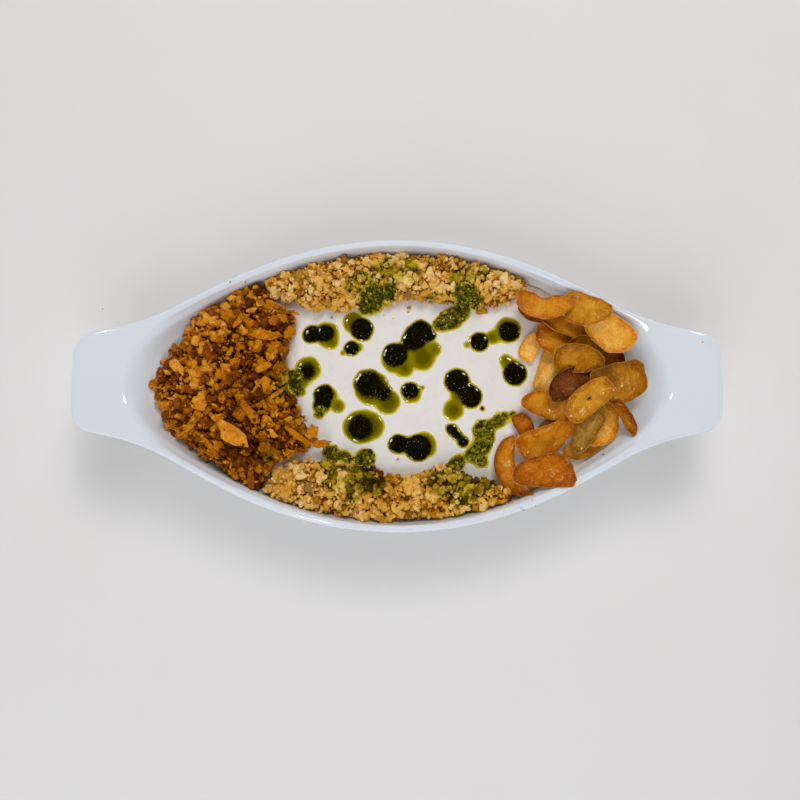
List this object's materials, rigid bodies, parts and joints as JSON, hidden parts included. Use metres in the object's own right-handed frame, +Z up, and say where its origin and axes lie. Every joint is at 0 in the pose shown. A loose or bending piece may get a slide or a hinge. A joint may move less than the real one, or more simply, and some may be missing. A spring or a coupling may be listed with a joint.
{
  "type": "bowl of eggplant dip",
  "caption": "Oval white baking dish with two flat ears, full of eggplant dip under whey sauce, with heaps of fried onions and crushed walnuts and a pile of garlic slices.",
  "frame": {"origin": "on the table under the middle of the dish, in the plane of the foot ring", "axes": "+X along the dish towards the garlic end, +Y across it towards the far long side, +Z up"},
  "size_m": [0.28, 0.1286, 0.0446],
  "materials": {
    "porcelain": "glossy white glaze",
    "dip": "moist, coarse mash",
    "whey": "smooth, wet",
    "onions": "crisp, slightly oily",
    "walnuts": "dry, crumbly",
    "garlic": "oily, blistered"
  },
  "bodies": {
    "root": {"dish": "porcelain", "eggplant_dip": "dip", "whey_sauce": "whey", "fried_onions": "onions", "walnuts_back": "walnuts", "walnuts_front": "walnuts", "garlic_01": "garlic", "garlic_02": "garlic", "garlic_03": "garlic", "garlic_04": "garlic", "garlic_05": "garlic", "garlic_06": "garlic", "garlic_07": "garlic", "garlic_08": "garlic", "garlic_09": "garlic", "garlic_10": "garlic", "garlic_11": "garlic", "garlic_12": "garlic", "garlic_13": "garlic", "garlic_14": "garlic", "garlic_15": "garlic", "garlic_16": "garlic", "garlic_17": "garlic", "garlic_18": "garlic", "garlic_19": "garlic", "garlic_20": "garlic", "garlic_21": "garlic", "garlic_22": "garlic", "garlic_23": "garlic", "garlic_24": "garlic", "garlic_25": "garlic"}
  },
  "joints": []
}
